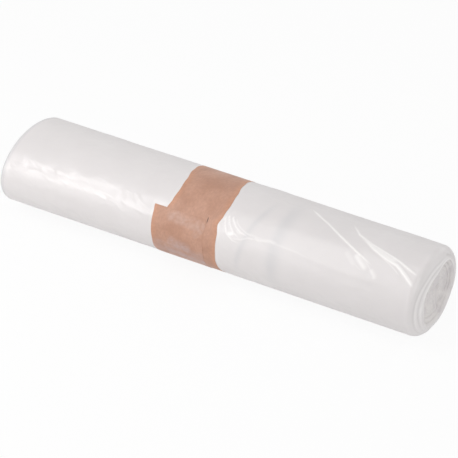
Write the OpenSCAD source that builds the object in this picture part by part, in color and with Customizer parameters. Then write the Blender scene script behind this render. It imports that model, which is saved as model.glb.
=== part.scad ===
// A coreless roll of translucent bin bags, held by one band of paper tape.
// X runs along the roll, -Y is the front, and the roll rests on its flat spot at z = 0.
// Angles round the section are 0 at the back, 90 on top, 180 at the front and 270 underneath.

/* [Roll] */
// Length of the roll, which is one bag's width folded in half
roll_length = 400; // [250:5:600]
// Front-to-back width of the oval section at the left end
left_width = 99.5; // [60:0.5:140]
// Height of the section at the left end
left_height = 68.5; // [50:0.5:120]
// Front-to-back width of the oval section at the right end
right_width = 83; // [60:0.5:140]
// Height of the section at the right end
right_height = 74; // [50:0.5:120]
// How square the section is above the back: 2 is an ellipse, more is squarer
back_fullness = 2.1; // [1.7:0.05:2.6]
// How square the section is above the front
front_fullness = 1.95; // [1.7:0.05:2.6]
// Width of the flat spot that the soft roll rests on
flat_width = 16; // [8:0.5:26]
// Radius that the rim is rounded over at the left end
left_rim = 2.6; // [1:0.2:10]
// Radius that the rim is rounded over at the right end
right_rim = 8.4; // [2:0.2:14]

/* [Free edge and folds] */
// Height of the step where the last bag's edge lies on the turn below it
edge_step = 0.5; // [0.2:0.1:1]
// Where that edge runs, low on the back
edge_angle = -25; // [-50:1:20]
// Height of the diagonal creases in the outer bag
crease_height = 0.9; // [0.2:0.1:1.5]
// Half-width of a crease
crease_width = 4; // [2:0.5:8]
// Depth of the gathers round the right-hand shoulder
gather_depth = 0.45; // [0:0.05:1]
// Depth of the hollows left in the outer turns by winding
winding_wave = 0.35; // [0:0.05:0.8]

/* [Ends] */
// Turns that can be told apart on each end
turns = 8; // [4:1:8]
// Height that each turn stands proud of the next one in
turn_step = 1; // [0.3:0.1:2]
// Depth of the left end face inside its rim
left_recess = 2.2; // [0.5:0.1:6]
// Depth of the right end face inside its rim
right_recess = 2.8; // [0.5:0.1:8]
// Depth of the pinch at the middle, where the first bag was started
pinch_depth = 5; // [1:0.5:12]

/* [Band] */
// Width of the paper strip
band_width = 50; // [20:1:90]
// Thickness of the paper strip
band_thickness = 0.3; // [0.15:0.05:0.6]
// Position of the strip's left edge where its outer end lies
band_left = -45.2; // [-120:0.2:40]
// Sideways drift of the strip in one turn round the roll
band_drift = 12.8; // [0:0.2:20]
// Angle at which the strip's outer end lies, above the front
lap_angle = 140; // [110:1:150]
// Angle under the front at which the strip's hidden inner end lies
tail_angle = 230; // [200:1:236]
// Gap between the two layers where the strip laps itself
lap_gap = 0.1; // [0.06:0.02:0.3]
// Gap between the strip and the film under it
fit_gap = 0.1; // [0.06:0.02:0.3]

/* [Part] */
// Which piece to draw

/* [Hidden] */
film_colour = [0.88, 0.88, 0.87];
paper_colour = [0.78, 0.6, 0.52];
half = roll_length / 2;
// points round the section; the two at each side of the flat spot are the first and the last
count = 64;
edge_index = 10;
edge_run = 0.6;
waist_depth = band_thickness + fit_gap;
// the strip wraps from the lap, once round and on to its hidden end
strip_turns = 1 + (tail_angle - lap_angle) / 360;
waist_left = band_left - 1.5;
waist_right = band_left + band_width + band_drift * strip_turns + 1.5;
waist_ramp = 3;
spiral_count = turns * count;
inner_scale = 0.13;

function mix(a, b, w) = a + (b - a) * w;
function clamp(v, lo, hi) = min(max(v, lo), hi);
function smooth(v) = let (c = clamp(v, 0, 1)) c * c * (3 - 2 * c);
function along(x) = x / roll_length + 0.5;

// half the width and half the height of the section at station x
function half_width(x) = mix(left_width, right_width, along(x)) / 2;
function half_height(x) = mix(left_height, right_height, along(x)) / 2;

// the flat spot's edge, as an angle either side of straight down
function flat_angle(x) = asin(flat_width / 2 / half_width(x));
function middle_height(x) = half_height(x) * cos(flat_angle(x));

// the angle of section point i: even steps, with a close pair where the last bag's edge lies
function point_angle(x, i) =
    let (first = flat_angle(x) - 90, last = 270 - flat_angle(x))
    i <= edge_index
        ? mix(first, edge_angle, i / edge_index)
        : mix(edge_angle + edge_run, last, (i - edge_index - 1) / (count - edge_index - 2));

function fullness(t) = sin(t) < 0 ? 2 : cos(t) >= 0 ? back_fullness : front_fullness;
function bulge(v, n) = sign(v) * pow(abs(v), 2 / n);

// the section point at an angle, moved inward by the inset
function skin(x, t, inset) =
    let (n = fullness(t))
    [x,
     (half_width(x) - inset) * bulge(cos(t), n),
     middle_height(x) + (half_height(x) - inset) * bulge(sin(t), n)];

function roll_point(x, i, inset) = skin(x, point_angle(x, i), inset);

// how far in the rounded rims and the waist under the strip take the surface
function rim_inset(x) =
    let (l = clamp((left_rim - half - x) / left_rim, 0, 1),
         r = clamp((x - half + right_rim) / right_rim, 0, 1))
    left_rim * (1 - sqrt(1 - l * l)) + right_rim * (1 - sqrt(1 - r * r));
function waist(x) =
    smooth((x - waist_left + waist_ramp) / waist_ramp) * smooth((waist_right + waist_ramp - x) / waist_ramp);

// distance from a crease that runs straight from a to b, both given as [share of the length, angle]
arc_per_degree = 0.72;
function on_skin(p) = [p[0] * roll_length, p[1] * arc_per_degree];
function crease(x, t, a, b) =
    let (p = on_skin(a), d = on_skin(b) - p, q = [x, t * arc_per_degree] - p,
         w = clamp((q * d) / (d * d), 0, 1), off = norm(q - w * d) / crease_width)
    exp(-off * off) * smooth((1 - w) * 4 + 0.3);
function creases(x, t) =
    crease_height * max(crease(x, t, [0.19, 78], [0.405, 142]),
                        0.7 * crease(x, t, [0.29, 80], [0.485, 127]),
                        0.6 * crease(x, t, [0.37, 108], [0.49, 141]));

// the free edge's step dies out downward before the flat spot, and under the strip
function edge_inset(x, t) =
    t > edge_angle + edge_run / 2 ? 0 : edge_step * clamp(1 - (edge_angle - t) / 50, 0, 1) * (1 - waist(x));
// only the upper side is gathered or hollow, so that the flat spot stays flat
function upper(t) = smooth(sin(t) * 1.4 - 0.1);
function gathers(x, t) =
    gather_depth * smooth((x - half + 34) / 26) * upper(t) * (0.5 + 0.3 * sin(9 * t + 40) + 0.2 * sin(14 * t));
function hollows(x, t) =
    winding_wave * upper(t) * (1 - waist(x)) * (0.5 + 0.25 * sin(x * 3.1 + 2 * t) + 0.25 * sin(x * 1.3 - 3 * t + 60));
function relief(x, t) = edge_inset(x, t) + gathers(x, t) + hollows(x, t) - creases(x, t) * (1 - waist(x));

function ring(x) = [
    for (i = [0:count - 1])
        let (t = point_angle(x, i))
        skin(x, t, rim_inset(x) + waist_depth * waist(x) + relief(x, t))];

// stations along the roll: fine on the rims and where the creases are
left_body = half - left_rim + waist_left - waist_ramp;
right_body = half - right_rim - waist_right - waist_ramp;
left_steps = 6;
right_steps = 26;
stations = concat(
    [for (k = [0:3]) -half + left_rim * (1 - cos(30 * k))],
    [for (k = [1:left_steps]) -half + left_rim + left_body * k / left_steps],
    [waist_left, (waist_left + waist_right) / 2, waist_right],
    [for (k = [0:right_steps]) waist_right + waist_ramp + right_body * k / right_steps],
    [for (k = [1:5]) half - right_rim * (1 - sin(18 * k))]);
rings = len(stations);

// the turns on an end: a crest line winds inward from the free edge, with its valley just inside it
function turn_scale(k) = mix(1, inner_scale, k / spiral_count);
function recess_at(scale, depth) =
    depth * smooth((1 - scale) / 0.25) + pinch_depth * exp(-pow((scale - inner_scale + 0.05) / 0.16, 2));
function end_point(side, depth, i, scale, drop) =
    let (x = side * half, rim = side < 0 ? left_rim : right_rim,
         p = roll_point(x, i, rim + relief(x, point_angle(x, i))),
         middle = middle_height(x), lean = mix(0.45, 1, smooth(scale * 1.3)))
    [side * (half - recess_at(scale, depth) - drop), p[1] * scale, middle + (p[2] - middle) * scale * lean];
function proud(k) = turn_step * smooth(k / count * 2) * smooth((spiral_count - k) / count + 0.2) * (0.75 + 0.25 * sin(k * 23));
function end_points(side, depth) = concat(
    [for (k = [1:spiral_count], v = [0, 1])
        let (i = (edge_index + 1 + k) % count, s = turn_scale(k))
        end_point(side, depth, i, s - v * 0.014 * smooth(k / 12), v * proud(k))],
    [[side * (half - depth - pinch_depth * 1.2), 0, middle_height(side * half)]]);

// every face is a triangle, given so that it is clockwise from outside
function quad(a, b, c, d) = [[a, b, c], [a, c, d]];
function side_faces() = [
    for (r = [0:rings - 2], i = [0:count - 1])
        let (j = (i + 1) % count, a = r * count, b = a + count)
        each quad(a + i, b + i, b + j, a + j)];
function end_faces(first_ring, base, flip) =
    let (rim = function (k) first_ring + (edge_index + 1 + k) % count,
         crest = function (k) k == 0 ? rim(0) : base + (k - 1) * 2,
         valley = function (k) k == 0 ? rim(0) : base + (k - 1) * 2 + 1,
         centre = base + spiral_count * 2, last = spiral_count - count,
         tri = concat(
            [[crest(1), rim(1), rim(0)], [valley(1), crest(1), rim(0)]],
            [for (k = [1:count - 1]) each quad(crest(k), crest(k + 1), rim(k + 1), rim(k))],
            [for (k = [1:spiral_count - 1]) each quad(valley(k), valley(k + 1), crest(k + 1), crest(k))],
            [for (k = [0:last - 1]) each quad(crest(k + count), crest(k + count + 1), valley(k + 1), valley(k))],
            [for (k = [last:spiral_count - 1]) [centre, valley(k + 1), valley(k)]],
            [[centre, crest(spiral_count), valley(spiral_count)], [centre, valley(last), crest(spiral_count)]]))
    [for (f = tri) flip ? [f[2], f[1], f[0]] : f];

module bag_roll() {
    left_base = rings * count;
    right_base = left_base + spiral_count * 2 + 1;
    points = concat(
        [for (x = stations) each ring(x)],
        end_points(-1, left_recess),
        end_points(1, right_recess));
    faces = concat(
        side_faces(),
        end_faces(0, left_base, true),
        end_faces((rings - 1) * count, right_base, false));
    color(film_colour)
        polyhedron(points = points, faces = faces);
}

// the strip follows the roll's own section points, so that the two stay a constant gap apart
function index_at(t) = edge_index + 1 + (t - point_angle(0, edge_index + 1))
    / (point_angle(0, count - 1) - point_angle(0, edge_index + 1)) * (count - edge_index - 2);
lap_index = index_at(lap_angle);
tail_index = count + index_at(tail_angle);
rows = concat([lap_index], [for (q = [floor(lap_index) + 1:ceil(tail_index) - 1]) q], [tail_index]);

function wrapped_angle(q) =
    let (i = floor(q), w = q - i,
         a = point_angle(0, i % count) + 360 * floor(i / count),
         b = point_angle(0, (i + 1) % count) + 360 * floor((i + 1) / count))
    mix(a, b, w);
function strip_left(q) = band_left + band_drift * (wrapped_angle(q) - lap_angle) / 360;
// the outer end rides over the hidden one, then comes down to the film
function strip_lift(q) = (band_thickness + lap_gap) * clamp((tail_index - count + 2 - q) / 1.6, 0, 1);
function strip_point(q, x, inset) =
    let (i = floor(q), w = q - i)
    mix(roll_point(x, i % count, inset), roll_point(x, (i + 1) % count, inset), w);

module paper_band() {
    last = len(rows) - 1;
    points = [
        for (q = rows)
            let (x = strip_left(q), top = -strip_lift(q), under = top + band_thickness)
            each [strip_point(q, x, top), strip_point(q, x + band_width, top),
                  strip_point(q, x + band_width, under), strip_point(q, x, under)]];
    faces = concat(
        quad(0, 1, 2, 3),
        [for (r = [0:last - 1], e = [0:3])
            let (f = (e + 1) % 4, a = r * 4, b = a + 4)
            each quad(a + e, b + e, b + f, a + f)],
        quad(last * 4 + 3, last * 4 + 2, last * 4 + 1, last * 4));
    color(paper_colour)
        polyhedron(points = points, faces = faces);
}

bag_roll();
paper_band();
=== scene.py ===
# %% [markdown]
# # A roll of bin bags, closed with paper tape
# The real thing is a stack of thin polyethylene bags, folded lengthwise and wound up without a core.
# It is soft, so it sags to an oval, rests on a small flat spot and wrinkles where the tape grips it.
# It could be sculpted by hand, or left to a cloth simulation, but a simulation creases where it likes.
# Here both pieces are computed. The film is rolled up from a flat grid, with its creases as
# ridges along paths, and the paper tape is a strip that is wound on and laps itself at the front.
# The CAD part stays the reference, so the first step is to load it and to note its size.

# %% Load the fixed frame
import math

import bmesh
import bpy
import numpy as np
from mathutils import Matrix, Vector, noise


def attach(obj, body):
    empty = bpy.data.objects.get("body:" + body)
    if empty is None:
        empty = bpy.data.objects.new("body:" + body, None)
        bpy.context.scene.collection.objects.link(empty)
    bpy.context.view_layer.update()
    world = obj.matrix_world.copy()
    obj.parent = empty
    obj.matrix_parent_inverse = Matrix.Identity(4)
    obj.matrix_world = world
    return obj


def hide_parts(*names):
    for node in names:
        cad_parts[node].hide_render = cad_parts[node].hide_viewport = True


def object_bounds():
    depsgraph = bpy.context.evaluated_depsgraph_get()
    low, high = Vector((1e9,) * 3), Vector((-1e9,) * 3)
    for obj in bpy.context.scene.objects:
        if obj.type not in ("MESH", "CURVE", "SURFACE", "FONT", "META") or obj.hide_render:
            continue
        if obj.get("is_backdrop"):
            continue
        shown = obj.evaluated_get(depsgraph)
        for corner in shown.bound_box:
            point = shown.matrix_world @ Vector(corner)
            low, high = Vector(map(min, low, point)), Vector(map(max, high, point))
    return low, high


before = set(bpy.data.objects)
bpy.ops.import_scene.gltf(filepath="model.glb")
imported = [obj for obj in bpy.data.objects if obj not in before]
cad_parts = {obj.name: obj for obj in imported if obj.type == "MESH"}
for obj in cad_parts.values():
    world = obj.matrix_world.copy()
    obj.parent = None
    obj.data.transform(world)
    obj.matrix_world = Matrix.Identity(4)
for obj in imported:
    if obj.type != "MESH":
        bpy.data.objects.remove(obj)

cad_low, cad_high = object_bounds()
print("CAD box, m:", [round(v, 4) for v in (*cad_low, *cad_high)])

# %% [markdown]
# ## The section
# A wound roll that lies on a table is a flattened oval, and this one is flatter at its left end.
# The oval could be drawn as curves and lofted, but a superellipse needs only two sizes and a fullness.
# Every vertex of both pieces comes from this one function, so film and tape can't part or collide.
# Sizes are in millimetres as in the CAD source, and the last line turns them into metres.
# Angles run round the section: 0 at the back, 90 on top, 180 at the front and 270 underneath.

# %% The oval section
MM = 0.001
LENGTH, HALF = 400.0, 200.0
LEFT_WIDTH, LEFT_HEIGHT, RIGHT_WIDTH, RIGHT_HEIGHT = 99.5, 68.5, 83.0, 74.0
FULL_UNDER, FULL_BACK, FULL_FRONT = 2.0, 2.1, 1.95
FLAT_SPOT = 16.0


def smooth(v):
    v = np.clip(v, 0, 1)
    return v * v * (3 - 2 * v)


def half_sizes(x):
    share = np.asarray(x, float) / LENGTH + 0.5
    width = LEFT_WIDTH - (LEFT_WIDTH - RIGHT_WIDTH) * share
    return width / 2, (LEFT_HEIGHT + (RIGHT_HEIGHT - LEFT_HEIGHT) * share) / 2


def section(x, t, inset):
    width, height = half_sizes(x)
    c, s = np.cos(np.radians(t)), np.sin(np.radians(t))
    fullness = np.where(s < 0, FULL_UNDER, np.where(c >= 0, FULL_BACK, FULL_FRONT))
    flat = np.sqrt(1 - (FLAT_SPOT / 2 / width) ** 2)
    y = (width - inset) * np.sign(c) * np.abs(c) ** (2 / fullness)
    z = height * flat + (height - inset) * np.sign(s) * np.abs(s) ** (2 / fullness)
    return np.stack(np.broadcast_arrays(x, y, np.maximum(z, inset * flat)), -1) * MM


for station in (-HALF, 0, HALF):
    width, height = half_sizes(station)
    print(f"section at x = {station:.0f} mm: {2 * width:.1f} wide, {2 * height:.1f} high")

# %% [markdown]
# ## Where the tape runs
# The tape is wound once and a quarter round the roll and drifts to the right as it goes.
# Hand-laid tape is never quite straight, so a short table says how far it strays at some angles.
# A curve object could do that too, but the film has to know the path as well: it gives way under
# the tape, and the same function says where that shallow waist lies.

# %% The path of the tape
TAPE_WIDTH, PAPER, GAP = 50.0, 0.16, 0.04
TAPE_LEFT, TAPE_DRIFT, LAP, TAIL = -45.2, 12.8, 140.0, 590.0
END_MARGIN, END_RAMP = 6, 5
SWAY = (
    (140, -0.5), (150, 0.4), (186, 1.0), (205, 0), (235, -1), (330, 0), (396, -4.6), (424, -3.9),
    (440, -2.3), (458, 0.6), (475, 1.5), (489, 0.4), (502, -1.9), (514, 0.0), (538, 0.3),
    (556, -0.6), (590, -0.5),
)


def between(q, table):
    knots, values = np.array(table, float).T
    k = np.clip(np.searchsorted(knots, q) - 1, 0, len(knots) - 2)
    share = smooth((q - knots[k]) / (knots[k + 1] - knots[k]))
    return values[k] + (values[k + 1] - values[k]) * share


def tape_left(q):
    return TAPE_LEFT + TAPE_DRIFT * (q - LAP) / 360 + between(q, SWAY)


def under_tape(x, t, margin, ramp):
    under = 0
    for q in (t, t + 360):
        left = tape_left(np.clip(q, LAP, TAIL))
        from_left = smooth((x - left + margin + ramp) / ramp)
        from_right = smooth((left + TAPE_WIDTH + margin + ramp - x) / ramp)
        begun = smooth((q - LAP + margin + END_MARGIN) / END_RAMP)
        unfinished = smooth((TAIL + margin + END_MARGIN - q) / END_RAMP)
        under = np.maximum(under, from_left * from_right * begun * unfinished)
    return under


print("the tape's left edge at its outer end and its hidden end, mm:",
      [round(float(tape_left(np.array(q))), 1) for q in (LAP, TAIL)])

# %% [markdown]
# ## Folds and creases
# Thin film can't stretch, so spare width gathers into long, sharp creases.
# A cloth simulation would make some too, but not in these places. The ones here are right of the
# tape, and they follow points that were read off the photograph.
# Each point is a place along the roll, in millimetres, and an angle round it, in degrees.
# After its path, each crease has a half-width and a height, both in millimetres.

# %% Creases that the photograph shows
CREASES = (
    # the long diagonal crease and the crumpled film at its end
    (((80, 81.5), (95.8, 92.8), (117.5, 108.8), (137, 121.2), (156.5, 133.2)), 0.85, 0.45),
    (((138, 125), (144.2, 131.5), (153.5, 140.5)), 2.8, 0.2),
    (((129, 125), (136, 132.5), (143, 140)), 3.0, 0.08),
    (((155, 136), (160.5, 142.5), (162, 147.5)), 2.2, 0.17),
    (((146, 127), (153, 134), (160, 143)), 0.7, 0.12),
    (((134, 128), (141, 136.5), (150, 143)), 0.7, 0.08),
    # the flattened fold that runs out at the right shoulder
    (((120.5, 84.5), (132.8, 99.8), (146, 107), (156, 110.5), (175.5, 117.6), (189.2, 125.2),
      (195.5, 128.6)), 0.9, 0.42),
    (((132.8, 99.8), (148, 110.5), (160, 117.3), (168.2, 120.8), (175, 123.2), (180.4, 127.4),
      (186, 132.8), (191.8, 139), (196, 144)), 1.6, 0.46),
    (((150, 110.5), (159, 115), (167, 118.5), (175, 121.2)), 2.4, 0.28),
    (((155.2, 115.5), (164.8, 122), (174, 128.2), (181.5, 135)), 0.9, 0.13),
    # the fan that the tape squeezes out on its right
    (((19, 126), (20, 132.5), (22.2, 139.5), (26.2, 149), (32.5, 154.2), (40, 156)), 0.85, 0.2),
    (((21.5, 125), (23, 130.5), (26.5, 137.8), (31.8, 145.2), (39, 150)), 0.75, 0.22),
    (((25, 125), (26.5, 129.8), (31.5, 137.2), (37.8, 142.5), (46, 144.8)), 0.85, 0.24),
    (((29, 127), (31.5, 132.5), (36.5, 137.5), (43.8, 141.5), (52, 142.8)), 0.7, 0.15),
    (((26.8, 150), (29.8, 148), (32.6, 145.6)), 1.9, 0.3),
    (((30, 153), (40, 150.8), (45.8, 146.2), (53.8, 145.2)), 0.9, 0.14),
    (((38, 140), (49, 141.4), (62.8, 143), (76.2, 143.4), (91.8, 144.8), (112, 149)), 1.3, 0.07),
    (((50, 143.5), (56, 145), (65.5, 141.8), (74, 143)), 1.8, 0.12),
)
# the soft edge along which the upper front of the right part folds over
SOFT_FOLD = (
    ((28, 139), (62.8, 143), (101, 146.5), (124, 149.2), (141.8, 150.2), (165, 149), (186, 147)),
    4.5, 0.42,
)
print(len(CREASES), "creases, the highest", max(crease[2] for crease in CREASES), "mm")

# %% [markdown]
# ## Wisps, and the side that isn't seen
# The left part looks smooth, but its highlight has a ragged lower edge. Low wisps across it do that.
# A bump texture could break it up as well, but its lanes would lie at random.
# The photograph doesn't show the back. Its long soft creases are invented, and they start
# at the tape or at a shoulder, as creases in pulled film do.

# %% Low wisps and the creases of the back
WISPS = (
    # the left front, first beside the tape and then along the highlight
    (((-82, 136), (-78.2, 143.4), (-74.5, 154)), 1.9, 0.27),
    (((-67.5, 135), (-61, 141.7), (-54.3, 147), (-48.5, 149.3)), 1.5, 0.4),
    (((-61, 153.5), (-51.8, 157.9)), 1.5, 0.25),
    (((-73, 134), (-69.8, 141), (-62.6, 151.5)), 1.3, 0.22),
    (((-98, 144.5), (-90, 147.4), (-81.5, 151)), 2.2, 0.22),
    (((-115, 139.5), (-109.2, 144.5), (-103, 149)), 2.4, 0.22),
    (((-150, 138), (-138, 141), (-127, 147.2)), 2.6, 0.22),
    (((-188, 141), (-178, 145), (-168, 152)), 2.4, 0.22),
    (((-164, 144.5), (-155, 149), (-147, 156)), 2.2, 0.23),
    (((-141, 146), (-133, 151), (-127, 158)), 1.8, 0.25),
    (((-119, 147), (-112, 152.5), (-107, 160)), 2.0, 0.23),
    (((-101, 150), (-95, 155), (-91, 161)), 1.7, 0.22),
    (((-86, 152), (-79, 157), (-74, 163)), 1.6, 0.22),
    # the back
    (((-37, 48), (-44, 39), (-56, 31), (-75, 26), (-96, 25)), 1.1, 0.3),
    (((-36, 33), (-42, 24), (-54, 15), (-70, 9)), 1.0, 0.26),
    (((-38, 62), (-46, 56), (-58, 53)), 1.2, 0.2),
    (((25, 26), (34, 15), (48, 8), (70, 5)), 1.0, 0.3),
    (((24, 44), (36, 49), (52, 57), (66, 62)), 1.1, 0.26),
    (((86, 48), (104, 38), (128, 31), (150, 22), (166, 19)), 1.0, 0.3),
    (((112, 42), (126, 37), (144, 34)), 1.6, 0.16),
    (((-186, 24), (-166, 30), (-146, 40), (-122, 47), (-104, 58)), 1.0, 0.3),
)
print(len(WISPS), "wisps, the highest", max(wisp[2] for wisp in WISPS), "mm")

# %% [markdown]
# ## Turns that slid out at the right shoulder
# Soft film is never wound quite true, and the outer turns slide outward over each other.
# At the right end their edges follow one another like steps, each with a dark gap beside it.
# Modelling the turns one by one would take hundreds of sheets, so each edge is a ridge here, partly
# whitened as a painted highlight, and the shade in each gap is painted: a dark line that the material
# gets as a number.
# Places past 200 lie on the rim itself, because they are counted along the film.

# %% Edges and gaps of the slid turns
SHOULDER_EDGES = (
    (((196.4, 150), (197.4, 168), (197.8, 185), (197.8, 215), (197.8, 248)), 0.6, 0.24),
    (((203, 50), (203.2, 75), (203, 104), (202.7, 124), (201.8, 142), (200.7, 162), (200.7, 185),
      (200.5, 205), (200.5, 248)), 0.8, 0.28),
    (((204.8, -24), (204.8, 60), (204.8, 110), (204.8, 150), (204.6, 165), (204, 180),
      (203.7, 195), (203.6, 245)), 1.0, 0.34),
    (((196.2, 126), (197.8, 135), (199.4, 146)), 1.6, 0.16),
)
# painted shade: dark lines in the gaps beside the slid turns
SHOULDER_GAP_SHADES = (
    (((201.4, 60), (201.9, 80), (201.8, 104), (201.4, 124), (200.4, 142), (199.3, 162),
      (199.2, 185), (199.2, 215), (199.2, 248)), 0.6, 0.5),
    (((203.8, 60), (203.9, 80), (203.8, 104), (203.5, 124), (203.1, 142), (202.5, 162),
      (202.3, 185), (202.2, 215), (202.2, 248)), 0.45, 0.65),
    (((204.6, 160), (204.6, 180), (204.4, 200), (204.4, 240)), 0.4, 0.5),
    (((201, -24), (201, 20), (201.4, 62)), 3.0, 0.6),
    (((202.4, 42), (201.8, 54), (200.6, 68)), 1.1, 0.8),
)
print("right shoulder:", len(SHOULDER_EDGES), "edges and", len(SHOULDER_GAP_SHADES), "gaps")

# %% [markdown]
# ## From a path to a ridge
# A crease could be pulled out of the mesh with a brush, but a function can be measured and repeated.
# It finds how far each point lies from the path and raises it by a bell curve, steeper on the
# lower side than on the upper one, as film is that lies folded over itself. Both ends fade out.
# Where the right rim turns inward, the distance is counted along the film and not along the axis.

# %% Ridges along a path
RIGHT_RIM = 8.4
ARC = 0.72  # millimetres of film to a degree, on average
STEEPER = 0.7  # width of the lower side as a share of the upper one


def run(x):
    bend = np.clip((x - HALF + RIGHT_RIM) / RIGHT_RIM, 0, 1)
    return np.minimum(x, HALF - RIGHT_RIM) + RIGHT_RIM * np.arcsin(bend)


def ridge(x, t, path, width, height):
    points, here = np.array(path) * (1, ARC), np.stack([run(x), t * ARC], -1)
    best, profile = np.full(x.shape, np.inf), np.zeros(x.shape)
    for k, (start, end) in enumerate(zip(points[:-1], points[1:])):
        along = end - start
        share = np.clip((here - start) @ along / (along @ along), 0, 1)
        off = here - start - share[..., None] * along
        distance, lower = np.hypot(*np.moveaxis(off, -1, 0)), off @ (-along[1], along[0]) > 0
        travelled = (k + share) / (len(points) - 1)
        value = np.exp(-(distance / np.where(lower, STEEPER * width, width)) ** 2)
        value = value * smooth(travelled * 5 + 0.1) * smooth((1 - travelled) * 4 + 0.1)
        profile, best = np.where(distance < best, value, profile), np.minimum(best, distance)
    return height * profile


def highest(x, t, ridges):
    return np.max([ridge(x, t, *one) for one in ridges], axis=0)


print("the film runs on round the right rim to, mm:", round(float(run(np.array(HALF))), 1))

# %% [markdown]
# ## The rims
# Both ends are rounded over, tightly on the left and softly on the right.
# On the front of the right end the slid turns carry the rim more than twice as far in, and make
# it squarer. A bevel would be the same all round, so the rim is a function of the angle too.

# %% Round off the rims
LEFT_RIM = 2.6
FRONT_FROM, FRONT_RISE, FRONT_TO, FRONT_FALL = 42, 58, 250, 55
BACK_FROM, BACK_TO, BACK_RAMP = 290, 60, 30
FRONT_SPREAD, BACK_SPREAD, FRONT_SQUARE = 1.3, 0.25, 0.8


def rim_inset(x, t):
    left = np.clip((LEFT_RIM - HALF - x) / LEFT_RIM, 0, 1)
    right = np.clip((x - HALF + RIGHT_RIM) / RIGHT_RIM, 0, 1)
    front = smooth((t - FRONT_FROM) / FRONT_RISE) * smooth((FRONT_TO - t) / FRONT_FALL)
    back = smooth((BACK_TO - t) / BACK_RAMP) + smooth((t - BACK_FROM) / BACK_RAMP)
    reach = RIGHT_RIM * (1 + FRONT_SPREAD * front + BACK_SPREAD * back)
    power = 2 + FRONT_SQUARE * front
    over_left = LEFT_RIM * (1 - np.sqrt(1 - left**2))
    return over_left + reach * (1 - (1 - right**power) ** (1 / power))


for name, degrees in (("back", 0.0), ("front", 150.0)):
    print("right rim on the", name, "reaches in by, mm:",
          round(float(rim_inset(np.array(HALF), np.array(degrees))), 1))

# %% [markdown]
# ## The relief of the film
# Below the creases lie softer shapes: hollows from winding, gathers round the right shoulder,
# and the step where the last bag's free edge lies on the turn below it, low on the back.
# A displacement texture could give them, but a formula can spare the underside and the tape's place.
# The relief is measured inward, and only the upper side has it, so that the flat spot stays flat.

# %% Relief of the outer turn
EDGE, EDGE_STEP = -25.0, 0.5
GATHER, GATHER_WIDTH, GATHER_RAMP, HOLLOW = 0.45, 34, 26, 0.35


def wave(degrees):
    return np.sin(np.radians(degrees))


def relief(x, t):
    upper, free = smooth(wave(t) * 1.4 - 0.1), 1 - under_tape(x, t, 1, 3)
    ripple = 0.5 + 0.3 * wave(9 * t + 40) + 0.2 * wave(14 * t)
    gathers = GATHER * smooth((x - HALF + GATHER_WIDTH) / GATHER_RAMP) * ripple
    dents = 0.5 + 0.25 * wave(3.1 * x + 2 * t) + 0.25 * wave(1.3 * x - 3 * t + 60)
    hollows = HOLLOW * free * dents
    step = EDGE_STEP * np.clip((t - EDGE - 310) / 50, 0, 1) * free
    folds = highest(x, t, CREASES + WISPS + SHOULDER_EDGES) + ridge(x, t, *SOFT_FOLD)
    return step + upper * (gathers + hollows) - folds * (1 - under_tape(x, t, 0.4, 0.8))


def film_inset(x, t):
    return rim_inset(x, t) + (PAPER + GAP) * under_tape(x, t, 1, 3) + relief(x, t)


print("the film gives way under the tape by, mm:", round(PAPER + GAP, 2))

# %% [markdown]
# ## A flat sheet
# The outer bag is a flat sheet before it is wound, and the mesh starts the same way: as a grid.
# Its columns become stations along the roll, close together at the rims and where the creases are.
# Its rows go once round, from the free edge over the top, down the front and under.
# An even grid would be simpler, but it would spend most of its faces where nothing happens.

# %% Stations and rows of the grid
AROUND = 250
stations = np.concatenate([
    -HALF + LEFT_RIM * (1 - np.cos(np.radians(np.linspace(0, 90, 8)))),
    np.linspace(-HALF + LEFT_RIM, -92, 40)[1:],
    np.linspace(-92, -46, 30)[1:],
    np.linspace(-46, 20, 22)[1:],
    np.linspace(20, HALF - RIGHT_RIM, 140)[1:],
    HALF - RIGHT_RIM * (1 - np.sin(np.radians(np.linspace(0, 90, 26)[1:]))),
])
row_shares, row_angles = (0, 0.176, 0.796, 1), (EDGE, 55, 210, EDGE + 360)
angles = np.interp(np.arange(AROUND + 1) / AROUND, row_shares, row_angles)

film = bmesh.new()
bmesh.ops.create_grid(film, x_segments=len(stations) - 1, y_segments=AROUND, size=0.5)
row_of, station_of = film.verts.layers.int.new("row"), film.verts.layers.int.new("station")
for vertex in film.verts:
    vertex[station_of] = round((vertex.co.x + 0.5) * (len(stations) - 1))
    vertex[row_of] = round((vertex.co.y + 0.5) * AROUND)
print("film grid:", len(stations), "stations by", AROUND + 1, "rows")

# %% [markdown]
# ## Roll it up
# Each vertex knows its station and its row, so it can be laid straight on its place on the oval.
# A bend modifier would roll the sheet too, but only to a circle. The free edge of a real bag isn't
# dead straight, so the rows near it wander a little to either side.

# %% Roll up the film
WANDER, WANDER_RANGE = 2.2, 9  # degrees

X, T = np.meshgrid(stations, angles, indexing="ij")
wander = np.array([noise.noise((x / 38, 0, 7)) for x in stations])[:, None] * WANDER
near_start = np.exp(-((T - EDGE) % 360 / WANDER_RANGE) ** 2)
near_end = np.exp(-((EDGE + 360 - T) / WANDER_RANGE) ** 2)
laid = section(X, T + wander * near_start + wander * near_end, film_inset(X, T))
for vertex in film.verts:
    vertex.co = laid[vertex[station_of], vertex[row_of]]
print("rolled up, top at, mm:", round(float(laid[..., 2].max()) / MM, 1))

# %% [markdown]
# ## Close the free edge
# The first and the last row lie half a millimetre apart, one over the other.
# Merging them would lose that step. Bridging them keeps it as the thin edge of the last bag,
# which shows low on the back.

# %% Bridge the first and the last row
def in_row(edge, row):
    return all(vertex[row_of] == row for vertex in edge.verts)


seam = [edge for edge in film.edges
        if edge.is_boundary and (in_row(edge, 0) or in_row(edge, AROUND))]
step_faces = bmesh.ops.bridge_loops(film, edges=seam)["faces"]
print("the free edge has", len(step_faces), "faces")

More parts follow.
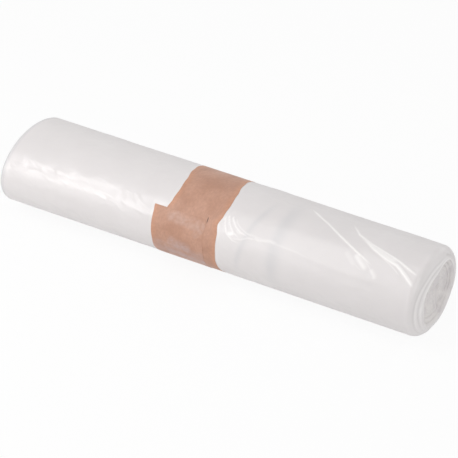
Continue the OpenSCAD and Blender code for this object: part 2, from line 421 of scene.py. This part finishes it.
# %% [markdown]
# ## The ends
# On the end of a roll one looks at the edges of all the turns, like the grooves of a record.
# A saw-tooth profile that turns with the angle makes one continuous spiral, because each turn
# stands a little proud of the next one in. Separate rings would be easier and look turned on a lathe.
# Noise crumples the edges, a pinch marks where the first bag was started, and a dimple is beside it.

# %% Depth of the end faces
TURNS, INNER = 8, 0.13
RECESS, PINCH = {-1: 2.2, 1: 2.8}, {-1: 5.0, 1: 2.2}
DIMPLE, DIMPLE_DEPTH, DIMPLE_RADIUS = {-1: (4.0, 33.0), 1: (13.0, 18.5)}, 1.8, 3.5
DEEPEST = 0.16  # where in a turn its groove is deepest
WOBBLE, GROOVE, CRUMPLE = 0.16, 0.8, 0.9


def turn_at(side, scale, t, y, z):
    turn = (1 - scale) / (1 - INNER) * TURNS - (t - EDGE) / 360
    return turn + WOBBLE * noise.noise((y / 16, z / 16, side * 3))


def outer_part(scale):
    return float(smooth((scale - 0.6) * 4))


def end_depth(side, scale, t, y, z):
    turn = turn_at(side, scale, t, y, z)
    saw, calm = turn % 1, 0.4 + 0.6 * outer_part(scale)
    proud = smooth((1 - scale) * 14) * smooth((scale - INNER) * 9 + 0.2)
    proud = proud * (0.75 + 0.25 * float(wave(23 * turn)))
    grooves = GROOVE * calm * proud * min(saw / DEEPEST, (1 - saw) / (1 - DEEPEST))
    crumple = noise.fractal((y / 13, z / 13, 5 + side), 1.0, 2.0, 3) * CRUMPLE
    crumple = crumple * smooth((1 - scale) * 2.2)
    pinch = PINCH[side] * math.exp(-((scale - INNER + 0.05) / 0.16) ** 2)
    off = math.hypot(y - DIMPLE[side][0], z - DIMPLE[side][1])
    dimple = DIMPLE_DEPTH * math.exp(-(off / DIMPLE_RADIUS) ** 2)
    return float(RECESS[side] * smooth((1 - scale) / 0.25) + grooves + crumple + pinch + dimple)


print("depth half way in at the right end, mm:", round(end_depth(1, 0.5, 90, 0, 50), 2))

# %% [markdown]
# ## Light between the turns
# Little light gets down between two turns, so each groove is darker, and so is the face's top,
# which the rim shades. Ray tracing alone doesn't reach that, since the real gaps go deep.
# A second function gives that shade as a number for the material to read.

# %% Shade of the grooves
def groove_shade(side, scale, t, y, z):
    turn = turn_at(side, scale, t, y, z)
    thin = math.exp(-((turn % 1 - DEEPEST) / 0.1) ** 2)
    uneven = 0.6 + 0.6 * noise.noise((y / 7, z / 7, 9))
    under_rim = 0.2 * float(smooth((z - 38) / 22))
    return thin * (0.15 + 0.85 * outer_part(scale)) * uneven + under_rim


print("shade half way in at the right end:", round(groove_shade(1, 0.5, 90, 0, 50), 2))

# %% [markdown]
# ## Extrude the rims inward
# A flat cap could close each end, but it would have no vertices to carry the spiral.
# So the rim is extruded inward in small rings towards the middle, and each ring takes its depth
# from the function above. At the right end the rings drift towards the back as they shrink,
# because the roll was pressed there and its middle isn't in the centre.

# %% Extrude each rim inward
RINGS, SHRINK = 56, 0.97
OFF_CENTRE = {-1: 0.0, 1: 7.0}
end_of = film.verts.layers.float.new("end")
# painted shade of the end grooves and of the gaps, kept on the vertices
gap_of = film.verts.layers.float.new("gap")


def extrude_end(side, loop):
    width, height = half_sizes(side * HALF)
    middle = height * math.sqrt(1 - (FLAT_SPOT / 2 / width) ** 2)
    rim = laid[0 if side < 0 else -1]
    for ring in range(1, RINGS + 1):
        scale = 1 - SHRINK * (ring / RINGS)
        made = bmesh.ops.extrude_edge_only(film, edges=loop)["geom"]
        new = [item for item in made if isinstance(item, bmesh.types.BMVert)]
        loop = [item for item in made if isinstance(item, bmesh.types.BMEdge) and item.is_boundary]
        lean = 0.45 + 0.55 * float(smooth(scale * 1.3))
        for vertex in new:
            t = angles[vertex[row_of]]
            y, z = rim[vertex[row_of]][1:] / MM
            y = y * scale + OFF_CENTRE[side] * (1 - scale)
            z = middle + (z - middle) * scale * lean
            depth = end_depth(side, scale, t, y, z)
            vertex.co = Vector((side * (HALF - depth), y, z)) * MM
            vertex[end_of] = min(1.0, (1 - scale) * 12)
            vertex[gap_of] = groove_shade(side, scale, t, y, z)
    centre = sum((vertex.co for vertex in new), Vector()) / len(new)
    bmesh.ops.pointmerge(film, verts=new, merge_co=centre)


for side, station in ((-1, 0), (1, len(stations) - 1)):
    rim_loop = [edge for edge in film.edges
                if edge.is_boundary and all(v[station_of] == station for v in edge.verts)]
    extrude_end(side, rim_loop)
bmesh.ops.recalc_face_normals(film, faces=film.faces)
print("open edges left:", sum(edge.is_boundary for edge in film.edges),
      " triangles:", sum(len(face.verts) - 2 for face in film.faces))

# %% [markdown]
# ## What the material has to know
# Two fold edges of a lower turn show through the film as grey bands of painted shadow, and the left
# rim gets a painted grey shade. Where film is folded or pressed it turns whiter, partly as painted
# highlight.
# Painting a picture could say that, but numbers on the vertices follow the shape and need no image.

# %% Numbers on the vertices
# grey bands of painted shadow, where the fold edges of a lower turn show through
SEEN_SHADOWS = (
    (((54, 85), (48.8, 113.8), (45, 130), (43.2, 149), (41.8, 160), (39.5, 179.2), (37.8, 205.8)),
     3.2, 0.6),
    (((70, 76), (70, 105), (69.8, 126), (69.8, 138), (70.6, 157), (71.5, 180), (72, 215)),
     7.0, 0.65),
)
# whitening beside the tape and along the right rim: partly pressed film, partly painted highlight; the
# heights below whiten creases, shoulder edges and wisps, partly as painted highlight
PRESSED_AND_HIGHLIT, LIT_RIM, LIT_RIM_FROM = 0.28, 0.22, 190
WHITE_CREASE, WHITE_EDGE, WHITE_WISP = 0.27, 0.45, 0.6  # heights that turn white, and a share
# painted grey shade along the left rim and the width it fades over; the last number is painted light
# on the right end's inner lip
RIM_SHADE, RIM_SHADE_WIDTH, LIP_HIGHLIGHT = 1.5, 5.5, 0.3

seen_shade_of, fold_and_highlight_of = (film.verts.layers.float.new(name) for name in ("seen", "fold"))
shown, gaps = highest(X, T, SEEN_SHADOWS), highest(X, T, SHOULDER_GAP_SHADES)
lit_rim = LIT_RIM * smooth((run(X) - LIT_RIM_FROM) / 5)
lit_rim = lit_rim * smooth((T - 60) / 40) * smooth((235 - T) / 40)
# whiter where film is folded, pressed or doubled, and painted highlight on creases, wisps, shoulder
# edges and the right rim
folded_and_highlit = np.max([
    PRESSED_AND_HIGHLIT * under_tape(X, T, 1.6, 2.2),
    lit_rim,
    highest(X, T, CREASES) / WHITE_CREASE,
    WHITE_WISP * highest(X, T, WISPS),
    highest(X, T, SHOULDER_EDGES[1:]) / WHITE_EDGE,
], axis=0).clip(0, 1)
for vertex in film.verts:
    place = vertex[station_of], vertex[row_of]
    # painted light on the inner lip of the right end
    if 0 < vertex[end_of] < 1 and vertex.co.x > 0:
        vertex[fold_and_highlight_of] = LIP_HIGHLIGHT * (1 - vertex[end_of])
    if vertex[end_of] == 0:
        # painted grey shade at the left rim, beside the painted shadow bands
        from_rim = (RIM_SHADE_WIDTH - HALF - vertex.co.x / MM) / RIM_SHADE_WIDTH
        vertex[seen_shade_of] = max(shown[place], RIM_SHADE * float(smooth(from_rim)))
        vertex[fold_and_highlight_of] = folded_and_highlit[place]
        vertex[gap_of] = gaps[place]
print("whitened vertices:", int((folded_and_highlit > 0.5).sum()), " grey ones:", int((shown > 0.3).sum()))

# %% [markdown]
# ## Turn the mesh into a piece
# An automatic unwrap would cut this mesh in odd places. The sheet was flat before it was rolled up,
# so its unrolled position goes into the UV map, in metres, and textures can follow the film.
# Faces are smooth, apart from edges sharper than 50 degrees, so the free edge stays crisp.

# %% Finish the film piece
SHARP = math.radians(50)


def as_object(bm, name, node):
    mesh = bpy.data.meshes.new(name)
    bm.to_mesh(mesh)
    bm.free()
    made = bpy.data.objects.new(name, mesh)
    bpy.context.scene.collection.objects.link(made)
    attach(made, "root")
    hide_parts(node)
    print(name, "has", sum(len(p.vertices) - 2 for p in mesh.polygons), "triangles")
    return made


unrolled = film.loops.layers.uv.new("unrolled")
for face in film.faces:
    face.smooth = True
    for loop in face.loops:
        station, row = loop.vert[station_of], loop.vert[row_of]
        loop[unrolled].uv = stations[station] * MM, angles[row] * ARC * MM
for edge in film.edges:
    edge.smooth = edge.calc_face_angle(0) < SHARP
film_roll = as_object(film, "film_roll", "bag_roll")

# %% [markdown]
# ## The paper tape
# The tape is a strip of paper, so it too starts as a flat grid and is wound on.
# A shrinkwrap could lay it on the film, but not twice over itself. So it follows the same section:
# its first turn lies in the film's waist, and at the front its outer end rides over the hidden one.
# Paper that is pulled over a soft roll puckers, so a little noise lifts the outer end.

# %% Wind the tape
ACROSS, ALONG = 44, 380
RIDE_END, RIDE_RAMP, RIDE_GAP = 241, 9, 0.02
PUCKER, PUCKER_TO, PUCKER_RAMP = 0.12, 225, 20

tape = bmesh.new()
bmesh.ops.create_grid(tape, x_segments=ACROSS, y_segments=ALONG, size=0.5)
unrolled = tape.loops.layers.uv.new("unrolled")
edge_of, painted_sheen_of, painted_reflection_of = (
    tape.verts.layers.float.new(name) for name in ("edge", "painted_sheen", "painted_reflection"))
flat = np.array([vertex.co for vertex in tape.verts]) + 0.5
q = LAP + flat[:, 1] * (TAIL - LAP)
x = tape_left(q) + flat[:, 0] * TAPE_WIDTH
for face in tape.faces:
    face.smooth = True
    for loop in face.loops:
        loop[unrolled].uv = x[loop.vert.index] * MM, q[loop.vert.index] * ARC * MM
bulge = GAP * smooth(np.minimum(flat[:, 0], 1 - flat[:, 0]) * 12)
lift = (PAPER + RIDE_GAP + bulge) * np.clip((RIDE_END - q) / RIDE_RAMP, 0, 1)
pucker = np.array([noise.noise((a / 17, b * ARC / 9, 2)) for a, b in zip(x, q)])
free = smooth((q - LAP) / 6) * (1 - smooth((q - PUCKER_TO) / PUCKER_RAMP))
spot = section(x, q, -lift - PUCKER * pucker.clip(0) * free)
print("the outer end rides, mm:", round(float(lift.max()), 2), "above the film")

# %% [markdown]
# ## Marks on the tape
# The photograph shows two pale patches on the tape: a painted sheen along its upper front, where it
# catches the light, and a painted reflection lower down and over the lap. Its long edges look more
# orange.
# Again numbers on the vertices say where, and the same ridge function draws the patches.

# %% Painted sheen, painted reflection and edges of the tape
# painted sheen where the tape catches the light
PAINTED_SHEEN = (
    (((-38, 149), (-14, 150), (2, 153), (10, 158)), 9.0, 1.0),
    (((-4, 158), (2, 168)), 7.0, 0.8),
)
# painted reflection on the lower part of the tape
PAINTED_REFLECTION = (
    (((-30, 184), (-14, 188), (-2, 190)), 8.0, 0.9),
    (((-40, 200), (-14, 204), (8, 208), (26, 212)), 6.5, 1.0),
)
LAPPED_REFLECTION, LAPPED_FROM, LAPPED_TO = 0.5, 176, 245
EDGE_WIDTH, OUTER_PART = 7, 0.2

# painted reflection over the lapped outer end
lapped = LAPPED_REFLECTION * smooth((q - LAPPED_FROM) / 16) * (q < LAPPED_TO)
painted_sheens, painted_reflections = highest(x, q, PAINTED_SHEEN), np.maximum(highest(x, q, PAINTED_REFLECTION), lapped)
for vertex, co, share, painted_sheen, painted_reflection in zip(tape.verts, spot, flat, painted_sheens, painted_reflections):
    vertex.co, vertex[painted_sheen_of], vertex[painted_reflection_of] = co, painted_sheen, painted_reflection
    from_right = 1 - share[0] if share[1] > OUTER_PART else 1
    vertex[edge_of] = 1 - min(1, min(share[0], from_right) * TAPE_WIDTH / EDGE_WIDTH)
print("hazy vertices:", int((painted_sheens > 0.3).sum()), " with bloom:", int((painted_reflections > 0.3).sum()))

# %% [markdown]
# ## Thickness of the paper
# The CAD strip is 0.3 mm thick, so that it can be checked as a solid, but real tape is thinner.
# The visible strip is wound as a sheet and gets its 0.16 mm afterwards, with solidify, so that
# both sides keep the same shape. Solidify follows the normals, and they have to point outward.

# %% Give the paper its thickness
ROLL_CENTRE = 0.035


def outwardness(face):
    middle = face.calc_center_median()
    return face.normal.dot(middle - Vector((middle.x, 0, ROLL_CENTRE)))


tape.normal_update()
if sum(outwardness(face) for face in tape.faces) < 0:
    bmesh.ops.reverse_faces(tape, faces=tape.faces)
bmesh.ops.solidify(tape, geom=tape.faces[:], thickness=PAPER * MM)
bmesh.ops.recalc_face_normals(tape, faces=tape.faces)
for edge in tape.edges:
    edge.smooth = edge.calc_face_angle(0) < SHARP
tape_band = as_object(tape, "tape_band", "paper_band")

# %% [markdown]
# ## Helpers for node trees
# Materials are graphs. They could be drawn by hand in the shader editor, but code repeats exactly.
# One short helper adds a node, sets its properties and fills its sockets, either with a plain value
# or with a link from another node. The others name the few kinds of node that are used here.

# %% Helpers for materials
def material_on(piece, name):
    material = bpy.data.materials.new(name)
    material.use_nodes = True
    piece.data.materials.append(material)
    return material.node_tree, material.node_tree.nodes["Principled BSDF"]


def fill(tree, socket, value):
    if isinstance(value, bpy.types.NodeSocket):
        tree.links.new(value, socket)
    else:
        socket.default_value = value


def add(tree, kind, sockets=(), **settings):
    node = tree.nodes.new(kind)
    for key, value in settings.items():
        setattr(node, key, value)
    for key, value in dict(sockets).items():
        fill(tree, node.inputs[key], value)
    return node


def noise_of(tree, where, scale, detail=3.0, distortion=0.0):
    sockets = {"Vector": where, "Scale": scale, "Detail": detail, "Distortion": distortion}
    return add(tree, "ShaderNodeTexNoise", sockets).outputs["Fac"]


def spread(tree, value, low, high, to_low, to_high):
    sockets = {"Value": value, "From Min": low, "From Max": high, "To Min": to_low, "To Max": to_high}
    return add(tree, "ShaderNodeMapRange", sockets).outputs["Result"]


def mix(tree, share, first, second):
    sockets = {0: share, 6: first, 7: second}
    return add(tree, "ShaderNodeMix", sockets, data_type="RGBA", clamp_factor=True).outputs[2]


def number(tree, name):
    return add(tree, "ShaderNodeAttribute", attribute_name=name).outputs["Fac"]


def set_sockets(tree, shader, values):
    for name, value in values.items():
        fill(tree, shader.inputs[name], value)


# %% [markdown]
# ## Milky film
# Polyethylene film is clear, but the many turns scatter the light until the roll looks white.
# Real layers of glass-like film would render slowly and noisily. A pale grey body with a little
# scattering below the surface looks the same from outside. Folds are whiter, because more layers
# lie there, and on creases, wisps and rims the whitening is partly a painted highlight. The fold edges
# that show through, and the left rim, are painted grey shade. The end faces have a crumpled colour,
# darker partly as painted shade.

# %% The film's colour
tree, film_look = material_on(film_roll, "milky_film")
unrolled = add(tree, "ShaderNodeUVMap", uv_map="unrolled").outputs["UV"]
position = add(tree, "ShaderNodeTexCoord").outputs["Object"]
end = number(tree, "end")

cloudy = spread(tree, noise_of(tree, position, 22, 2), 0.3, 0.7, 0, 1)
crumpled = spread(tree, noise_of(tree, position, 60, 4, 1.0), 0.35, 0.65, 0, 1)
# the ends' own crumpled tone, darkened in part as painted shade
end_colour_and_shade = mix(tree, crumpled, (0.66, 0.625, 0.63, 1), (0.75, 0.72, 0.705, 1))
body = mix(tree, cloudy, (0.74, 0.712, 0.712, 1), (0.77, 0.742, 0.742, 1))
# painted shade: grey bands where fold edges show through, and grey along the left rim
painted_seen_shade = spread(tree, number(tree, "seen"), 0, 2, 0, 1)
body = mix(tree, painted_seen_shade, body, (0.565, 0.57, 0.59, 1))
# whiter folds, partly painted highlight on creases, wisps and rims
whitened_and_highlit = spread(tree, number(tree, "fold"), 0.08, 1, 0, 0.85)
body = mix(tree, whitened_and_highlit, body, (0.95, 0.93, 0.92, 1))
body = mix(tree, end, body, end_colour_and_shade)
# painted shade in the grooves of the ends and in the gaps beside the slid turns
painted_groove_shade = spread(tree, number(tree, "gap"), 0, 1, 0, 0.55)
body = mix(tree, painted_groove_shade, body, (0.45, 0.43, 0.42, 1))
set_sockets(tree, film_look, {
    "Base Color": body,
    "Subsurface Weight": 0.25,
    "Subsurface Radius": (1, 1, 1),
    "Subsurface Scale": 0.004,
})
print("the film's colour takes", len(tree.nodes), "nodes")

# %% [markdown]
# ## The film's gloss
# The outermost turn is glossier than what lies under it. A thin clear coat stands for it, with a bump
# of its own: long tension wrinkles that follow the unrolled film break the highlights into soft
# lanes. The body below has the same wrinkles weaker, and a fine crackle.
# The coat fades towards the outline, or the roll's edge would mirror the white backdrop and vanish.

# %% The film's gloss and wrinkles
def bump(tree, height, strength, distance, **more):
    sockets = {"Height": height, "Strength": strength, "Distance": distance, **more}
    return add(tree, "ShaderNodeBump", sockets).outputs["Normal"]


pulled = {"Vector": unrolled, "Rotation": (0, 0, 0.5), "Scale": (0.015, 0.0105, 1)}
long = add(tree, "ShaderNodeMapping", pulled, vector_type="TEXTURE").outputs["Vector"]
tension = mix(tree, end, noise_of(tree, long, 1.0, 2.2, 0.5), crumpled)
crackle = noise_of(tree, position, 240, 3, 0.8)
soft = bump(tree, tension, 0.3, 0.0012)
facing = add(tree, "ShaderNodeLayerWeight", {"Blend": 0.5}).outputs["Facing"]
set_sockets(tree, film_look, {
    "Normal": bump(tree, crackle, 0.06, 0.0004, Normal=soft),
    "Roughness": spread(tree, noise_of(tree, unrolled, 30, 3), 0.3, 0.7, 0.4, 0.52),
    "IOR": 1.5,
    "Specular IOR Level": 0.25,
    "Coat Normal": bump(tree, tension, 0.68, 0.0012),
    "Coat Weight": spread(tree, facing, 0.4, 0.85, 1, 0.05),
    "Coat Roughness": 0.22,
    "Coat IOR": 1.5,
})
print("with its gloss,", len(tree.nodes), "nodes")

# %% [markdown]
# ## Kraft paper tape
# Paper is a felt of fibres. A photograph of paper could be wrapped round, but it would repeat and
# couldn't follow the strip. Mottling gives the cloudy colour, noise stretched along the strip gives
# the fibres, and a fine grit the rest. The margins are more orange, where the glue soaks through.
# The painted sheen and the painted reflection are broken up by noise, so that they don't look sprayed
# on.

# %% The tape's colour
def math_of(tree, operation, first, second):
    return add(tree, "ShaderNodeMath", {0: first, 1: second}, operation=operation).outputs["Value"]


tree, tape_look = material_on(tape_band, "kraft_tape")
unrolled = add(tree, "ShaderNodeUVMap", uv_map="unrolled").outputs["UV"]
frayed = math_of(tree, "MULTIPLY", number(tree, "edge"), noise_of(tree, unrolled, 70, 3))
frayed = math_of(tree, "MULTIPLY", frayed, 1.9)
mottle = spread(tree, noise_of(tree, unrolled, 60, 4, 0.4), 0.35, 0.65, 0, 1)
grain = add(tree, "ShaderNodeMapping", {"Vector": unrolled, "Scale": (900, 220, 1)})
fibres = noise_of(tree, grain.outputs["Vector"], 1.0, 4)
paper = mix(tree, mottle, (0.50, 0.275, 0.19, 1), (0.59, 0.34, 0.245, 1))
paper = mix(tree, spread(tree, fibres, 0.4, 0.7, 0, 0.35), paper, (0.42, 0.235, 0.18, 1))
paper = mix(tree, spread(tree, frayed, 0.1, 1, 0, 0.75), paper, (0.63, 0.33, 0.215, 1))
# painted sheen and painted reflection mixed into the tape's colour
for patch, first, colour in (("painted_sheen", 0.25, (0.585, 0.385, 0.315, 1)),
                             ("painted_reflection", 0.12, (0.56, 0.405, 0.375, 1))):
    broken_up = noise_of(tree, unrolled, 110, 5, 1.0)
    uneven = math_of(tree, "MULTIPLY", number(tree, patch), broken_up)
    paper = mix(tree, spread(tree, uneven, first, first + 0.4, 0, 0.9), paper, colour)
print("the tape's colour takes", len(tree.nodes), "nodes so far")

# %% [markdown]
# ## A painted corner shadow and a satin face
# One short dark mark near the tape's right edge is a painted shadow at the corner of the tape's outer
# end.
# A stretched, turned spherical gradient on the unrolled strip puts it there. Modelling it would be too
# much for a mark without depth.
# The paper's face is satin: rough, with a fine bump from the same fibres that colour it.

# %% The tape's painted corner shadow and gloss
# painted shadow at the corner of the tape's outer end
corner_shadow_at = {
    "Vector": unrolled,
    "Location": (0.0057, 0.3602, 0),
    "Rotation": (0, 0, 1.49),
    "Scale": (0.0036, 0.0006, 1),
}
corner_shadow_place = add(tree, "ShaderNodeMapping", corner_shadow_at, vector_type="TEXTURE").outputs["Vector"]
corner_shadow = add(tree, "ShaderNodeTexGradient", {"Vector": corner_shadow_place}, gradient_type="SPHERICAL")
corner_shadowed = spread(tree, corner_shadow.outputs["Fac"], 0, 0.5, 0, 0.85)
# the painted shadow is mixed in as a near-black mark
paper = mix(tree, corner_shadowed, paper, (0.09, 0.06, 0.05, 1))
grit = noise_of(tree, unrolled, 420, 2)
paper = mix(tree, spread(tree, grit, 0.35, 0.65, 0, 0.16), paper, (0.30, 0.16, 0.11, 1))
set_sockets(tree, tape_look, {
    "Base Color": paper,
    "Roughness": spread(tree, noise_of(tree, unrolled, 35, 3), 0.3, 0.7, 0.38, 0.55),
    "Normal": bump(tree, fibres, 0.25, 0.0003),
    "Specular IOR Level": 0.35,
})
print("the whole tape takes", len(tree.nodes), "nodes")

# %% [markdown]
# ## Floor and backdrop
# In the photograph the roll lies on white, with hardly a shadow. A floor lit to pure white would
# throw so much light back that the roll's underside glows. So the floor and the world
# look almost white to the camera and in reflections, but light the roll as a plain grey studio.

# %% Floor
ALMOST_WHITE = 0.92


def seen_directly(tree):
    rays = add(tree, "ShaderNodeLightPath").outputs
    seen = math_of(tree, "MAXIMUM", rays["Is Camera Ray"], rays["Is Glossy Ray"])
    return math_of(tree, "MAXIMUM", seen, rays["Is Transmission Ray"])


ground = bmesh.new()
bmesh.ops.create_grid(ground, x_segments=1, y_segments=1, size=6)
floor_mesh = bpy.data.meshes.new("floor")
ground.to_mesh(floor_mesh)
ground.free()
floor = bpy.data.objects.new("floor", floor_mesh)
bpy.context.scene.collection.objects.link(floor)
floor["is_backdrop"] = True
tree, floor_look = material_on(floor, "pale_floor")
set_sockets(tree, floor_look, {"Base Color": (0.9, 0.9, 0.9, 1), "Roughness": 0.9})
share = math_of(tree, "MULTIPLY", seen_directly(tree), ALMOST_WHITE)
glow = add(tree, "ShaderNodeEmission", {"Color": (1, 1, 1, 1), "Strength": 1.0})
shaders = {0: share, 1: floor_look.outputs["BSDF"], 2: glow.outputs["Emission"]}
both = add(tree, "ShaderNodeMixShader", shaders).outputs["Shader"]
tree.links.new(both, tree.nodes["Material Output"].inputs["Surface"])
print("floor, m:", [round(v, 1) for v in floor.dimensions])

# %% [markdown]
# ## World
# The world is the same trick once more: white where it is seen, grey where it only lights.
# A studio picture would add reflections that the photograph doesn't have.

# %% Backdrop
world = bpy.data.worlds.new("studio")
bpy.context.scene.world = world
world.use_nodes = True
tree = world.node_tree
tone = mix(tree, seen_directly(tree), (0.56, 0.56, 0.56, 1), (1, 1, 1, 1))
tree.links.new(tone, tree.nodes["Background"].inputs["Color"])
print("world:", world.name)

# %% [markdown]
# ## Softboxes
# Seven soft lights shape the roll. Three large ones, from the front left, the right and behind,
# model its round form. Two small ones above the front left make the bright band on the left part,
# and a third small one gives the back a highlight of its own. The long one overhead brightens
# the upper front of the right part, with a clear lower edge.
# One bright sun would be simpler, but its highlight would be a hard thin line.
# Each light's strength is given as the brightness of its face, so its size can change freely.

# %% Lights
def softbox(name, place, aim, size, radiance, along=(0, 0, 1)):
    lamp = bpy.data.lights.new(name, "AREA")
    lamp.shape, lamp.size, lamp.size_y = "RECTANGLE", size[0], size[1]
    lamp.color = (1, 0.985, 0.975)
    lamp.energy = radiance * size[0] * size[1] * math.pi
    holder = bpy.data.objects.new(name, lamp)
    bpy.context.scene.collection.objects.link(holder)
    outward = (Vector(place) - Vector(aim)).normalized()
    side = Vector(along).cross(outward).normalized()
    holder.location = place
    holder.rotation_euler = Matrix((side, outward.cross(side), outward)).transposed().to_euler()
    print("softbox", name, round(lamp.energy, 2), "W")


softbox("front_left", (-1.3, -2.1, 1.2), (0, 0, 0.03), (1.8, 1.4), 1.06)
softbox("right", (2.2, -0.7, 0.9), (0.1, 0, 0.03), (1.4, 1.4), 1.5)
softbox("back", (0.9, 2.1, 0.4), (0, 0, 0.03), (1.6, 0.7), 0.8)
softbox("streak", (-0.52, -0.6, 0.56), (-0.11, 0, 0.04), (0.22, 0.2), 6.2, (0, 0.27, 0.3))
softbox("streak_top", (-0.58, -0.37, 0.75), (-0.16, 0, 0.04), (0.14, 0.2), 8.1, (0, 0.19, 0.1))
softbox("back_streak", (0.6, 0.41, 1.0), (0, 0, 0.04), (0.3, 0.22), 1.8)
softbox("zone", (-0.22, -0.35, 0.781), (0.11, 0, 0.06), (0.32, 0.69), 1.78, (0, 0.69, 0.385))

# %% [markdown]
# ## Camera
# The camera stands where the photograph was taken from: about a third of a right angle round to the
# right and as far up, with a long lens. Its place could be found by eye, but here it comes from
# fitting the roll's outline. The lens is shifted, because the fit's centre isn't the picture's.

# %% Camera
PIXELS, FOCAL_PIXELS, SENSOR = 458, 2000, 36
CENTRE = 224.37, 222.13
AZIMUTH, ELEVATION, DISTANCE = math.radians(32.33), math.radians(32.65), 1.6844

level = math.cos(ELEVATION)
back = Vector((math.sin(AZIMUTH) * level, -math.cos(AZIMUTH) * level, math.sin(ELEVATION)))
lens = bpy.data.cameras.new("camera")
lens.lens, lens.sensor_width = FOCAL_PIXELS / PIXELS * SENSOR, SENSOR
lens.shift_x = (PIXELS / 2 - CENTRE[0]) / PIXELS
lens.shift_y = -(PIXELS / 2 - CENTRE[1]) / PIXELS
camera = bpy.data.objects.new("camera", lens)
bpy.context.scene.collection.objects.link(camera)
camera.location = Vector((0, 0, ROLL_CENTRE)) + back * DISTANCE
camera.rotation_euler = back.to_track_quat("Z", "Y").to_euler()
bpy.context.scene.camera = camera
bpy.context.scene.view_settings.view_transform = "Standard"
print("camera at", [round(v, 3) for v in camera.location], "lens", round(lens.lens, 1), "mm")

# %% [markdown]
# ## Check the size
# The dressed roll has to fill the same space as the CAD part. Looking can't tell half a millimetre,
# so the two boxes are measured, written down and compared before the scene is finished.

# %% Check the size and finish
low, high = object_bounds()
grown = [(b - a) / MM for a, b in zip((*cad_low, *cad_high), (*low, *high))]
print("grows by, mm:", [round(v, 2) for v in grown])
